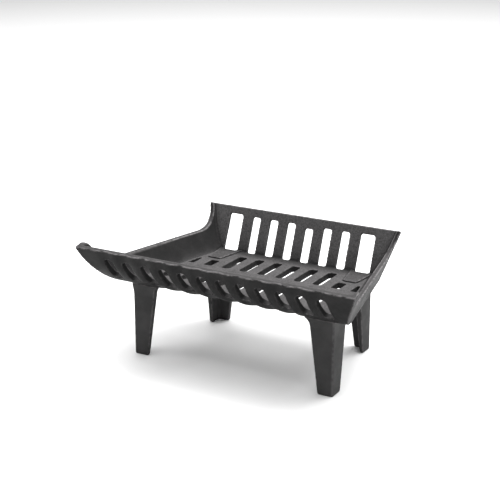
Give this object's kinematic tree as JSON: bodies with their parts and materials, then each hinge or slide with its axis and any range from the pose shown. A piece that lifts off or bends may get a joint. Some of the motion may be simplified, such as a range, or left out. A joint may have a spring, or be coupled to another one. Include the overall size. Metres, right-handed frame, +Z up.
{
  "type": "log grate",
  "caption": "Cast-iron log grate: a slotted basket with a raked back, flared walls and an upswept front lip, on four bolted angle legs.",
  "frame": {"origin": "on the ground under the middle of the grate's overall width and depth", "axes": "+X to the right as seen from the front, +Y from the front lip to the back panel, +Z up"},
  "size_m": [0.4338, 0.284, 0.1761],
  "materials": {
    "basket_iron": "as-cast sand texture, matt black-grey",
    "leg_iron": "as-cast sand texture, matt black-grey",
    "bolt_steel": "blackened steel",
    "washer_steel": "plain spring steel"
  },
  "bodies": {
    "root": {"basket": "basket_iron", "front_left_leg": "leg_iron", "front_right_leg": "leg_iron", "rear_left_leg": "leg_iron", "rear_right_leg": "leg_iron", "leg_bolts": "bolt_steel", "lock_washers": "washer_steel"}
  },
  "joints": []
}
